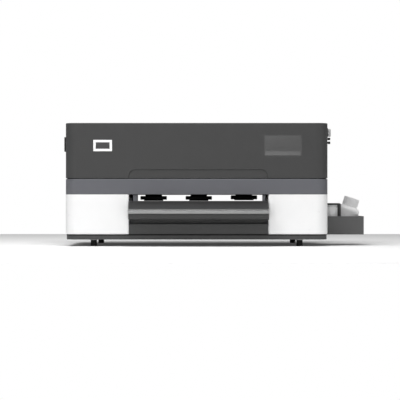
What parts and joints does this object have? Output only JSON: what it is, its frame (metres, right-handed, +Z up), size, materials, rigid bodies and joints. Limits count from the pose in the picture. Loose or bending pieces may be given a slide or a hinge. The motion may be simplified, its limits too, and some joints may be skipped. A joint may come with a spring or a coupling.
{
  "type": "desktop uv printer",
  "caption": "Wide desktop UV printer with a hinged lid, an open slot for roll film, a sloping front apron, white side covers and an ink tray on the right.",
  "frame": {"origin": "centre of the bounding box's footprint, on the surface the rubber feet stand on", "axes": "+X to the right seen from the front, along the gantry; the front faces -Y; +Z up"},
  "size_m": [1.162, 0.81, 0.472],
  "materials": {
    "dark_case": "fine matte texture",
    "grey_frame": "satin paint",
    "white_cover": "smooth white",
    "dark_metal": "satin paint",
    "apron_dark": "satin paint",
    "bright_trim": "brushed",
    "bare_steel": "zinc plated",
    "bare_aluminium": "anodised",
    "black_plastic": "moulded",
    "black_rubber": "moulded",
    "roller_rubber": "ground",
    "belt_rubber": "toothed",
    "screen_glass": "smooth glass-like front",
    "badge_white": "smooth",
    "button_grey": "smooth",
    "board_green": "printed board",
    "bottle_white": "blow moulded",
    "bottle_grey": "blow moulded",
    "bottle_black": "blow moulded",
    "cap_white": "ribbed"
  },
  "bodies": {
    "chassis": {"base_plate": "dark_metal", "rubber_feet": "black_rubber", "socket_screws": "bare_steel", "left_side_cover": "white_cover", "right_side_cover": "white_cover", "left_chassis_plate": "bare_steel", "right_chassis_plate": "bare_steel", "mid_frame": "grey_frame", "lower_front_panel": "dark_metal", "rear_panel": "dark_metal", "platen": "bare_aluminium", "platen_apron": "apron_dark", "apron_trim": "bright_trim", "slot_cheeks": "black_plastic", "rear_guide": "dark_metal", "roller_bearings": "bare_aluminium", "pinch_shaft": "bare_steel", "gantry_beam": "bare_aluminium", "linear_rail": "bare_steel", "carriage_motor": "dark_metal", "carriage_belt": "belt_rubber", "feed_motor": "bare_aluminium", "cap_station": "black_plastic", "power_supply": "bare_aluminium", "main_board": "board_green", "power_inlet": "black_plastic", "fan_frame": "black_plastic", "frame_hinge_leaves": "bare_steel", "lid_bumpers": "black_rubber", "ink_tray": "dark_case", "black_ink_bottle": "bottle_black", "grey_ink_bottle": "bottle_grey", "white_ink_bottle": "bottle_white", "roll_brackets": "dark_metal"},
    "lid": {"lid_shell": "dark_case", "lid_hinge_leaves": "bare_steel", "touch_screen": "screen_glass", "badge_frame": "badge_white", "exhaust_vent": "black_plastic"},
    "main_button": {"main_button": "button_grey"},
    "upper_button": {"upper_button": "black_plastic"},
    "lower_button": {"lower_button": "black_plastic"},
    "carriage": {"carriage_frame": "bare_aluminium", "carriage_cover": "dark_case", "print_heads": "black_plastic", "uv_lamps": "bare_aluminium"},
    "drive_pulley": {"drive_pulley": "bare_aluminium"},
    "idler_pulley": {"idler_pulley": "bare_aluminium"},
    "feed_roller": {"feed_roller": "bare_steel"},
    "cap_sled": {"cap_sled": "black_rubber"},
    "roll_spindle": {"roll_spindle": "bare_aluminium"},
    "fan_rotor": {"fan_rotor": "black_plastic"},
    "power_rocker": {"power_rocker": "black_plastic"},
    "white_bottle_cap": {"white_bottle_cap": "cap_white"},
    "pinch_arm_1": {"pinch_arm_1": "black_plastic"},
    "pinch_roller_1": {"pinch_roller_1": "roller_rubber"},
    "pinch_arm_2": {"pinch_arm_2": "black_plastic"},
    "pinch_roller_2": {"pinch_roller_2": "roller_rubber"},
    "pinch_arm_3": {"pinch_arm_3": "black_plastic"},
    "pinch_roller_3": {"pinch_roller_3": "roller_rubber"}
  },
  "joints": [
    {"name": "lid_hinge", "type": "hinge", "parent": "chassis", "child": "lid", "pos_m": [-0.071, 0.317, 0.26], "axis": [-1, 0, 0], "range_deg": [0, 70]},
    {"name": "main_button_press", "type": "slide", "parent": "lid", "child": "main_button", "axis": [-1, 0, 0], "range_m": [0, 0.003], "stiffness_N_per_m": 400, "springref_m": -0.001},
    {"name": "upper_button_press", "type": "slide", "parent": "lid", "child": "upper_button", "axis": [-1, 0, 0], "range_m": [0, 0.002], "stiffness_N_per_m": 300, "springref_m": -0.001},
    {"name": "lower_button_press", "type": "slide", "parent": "lid", "child": "lower_button", "axis": [-1, 0, 0], "range_m": [0, 0.002], "stiffness_N_per_m": 300, "springref_m": -0.001},
    {"name": "carriage_slide", "type": "slide", "parent": "chassis", "child": "carriage", "axis": [1, 0, 0], "range_m": [-0.745, 0]},
    {"name": "drive_pulley_spin", "type": "hinge", "parent": "chassis", "child": "drive_pulley", "pos_m": [-0.536, -0.013, 0.306], "axis": [0, -1, 0], "continuous": true},
    {"name": "idler_pulley_spin", "type": "hinge", "parent": "chassis", "child": "idler_pulley", "pos_m": [0.394, -0.013, 0.306], "axis": [0, -1, 0], "continuous": true},
    {"name": "feed_roller_spin", "type": "hinge", "parent": "chassis", "child": "feed_roller", "pos_m": [-0.071, -0.08, 0.1617], "axis": [1, 0, 0], "continuous": true},
    {"name": "cap_sled_lower", "type": "slide", "parent": "chassis", "child": "cap_sled", "axis": [0, 0, -1], "range_m": [0, 0.012]},
    {"name": "roll_spindle_spin", "type": "hinge", "parent": "chassis", "child": "roll_spindle", "pos_m": [-0.071, 0.37, 0.128], "axis": [1, 0, 0], "continuous": true},
    {"name": "fan_spin", "type": "hinge", "parent": "chassis", "child": "fan_rotor", "pos_m": [-0.231, 0.295, 0.105], "axis": [0, -1, 0], "continuous": true},
    {"name": "power_rocker_tilt", "type": "hinge", "parent": "chassis", "child": "power_rocker", "pos_m": [0.151, 0.308, 0.1], "axis": [-1, 0, 0], "range_deg": [0, 16]},
    {"name": "white_cap_lift", "type": "slide", "parent": "chassis", "child": "white_bottle_cap", "axis": [0.309, 0, 0.9511], "range_m": [0, 0.035]},
    {"name": "pinch_arm_1_lift", "type": "hinge", "parent": "chassis", "child": "pinch_arm_1", "pos_m": [-0.2415, -0.045, 0.212], "axis": [-1, 0, 0], "range_deg": [0, 10], "stiffness_Nm_per_rad": 1.5, "springref_deg": -17.19},
    {"name": "pinch_roller_1_spin", "type": "hinge", "parent": "pinch_arm_1", "child": "pinch_roller_1", "pos_m": [-0.2415, -0.08, 0.182], "axis": [1, 0, 0], "continuous": true},
    {"name": "pinch_arm_2_lift", "type": "hinge", "parent": "chassis", "child": "pinch_arm_2", "pos_m": [-0.063, -0.045, 0.212], "axis": [-1, 0, 0], "range_deg": [0, 10], "stiffness_Nm_per_rad": 1.5, "springref_deg": -17.19},
    {"name": "pinch_roller_2_spin", "type": "hinge", "parent": "pinch_arm_2", "child": "pinch_roller_2", "pos_m": [-0.063, -0.08, 0.182], "axis": [1, 0, 0], "continuous": true},
    {"name": "pinch_arm_3_lift", "type": "hinge", "parent": "chassis", "child": "pinch_arm_3", "pos_m": [0.1155, -0.045, 0.212], "axis": [-1, 0, 0], "range_deg": [-3.4, 6.4]},
    {"name": "pinch_roller_3_spin", "type": "hinge", "parent": "pinch_arm_3", "child": "pinch_roller_3", "pos_m": [0.1155, -0.08181, 0.18426], "axis": [1, 0, 0], "continuous": true}
  ],
  "couplings": [
    {"joint": "drive_pulley_spin", "follows": "carriage_slide", "rad_per_m": 78.74},
    {"joint": "idler_pulley_spin", "follows": "carriage_slide", "rad_per_m": 78.74},
    {"joint": "pinch_roller_1_spin", "follows": "feed_roller_spin", "ratio": -1.5},
    {"joint": "pinch_roller_2_spin", "follows": "feed_roller_spin", "ratio": -1.5}
  ]
}
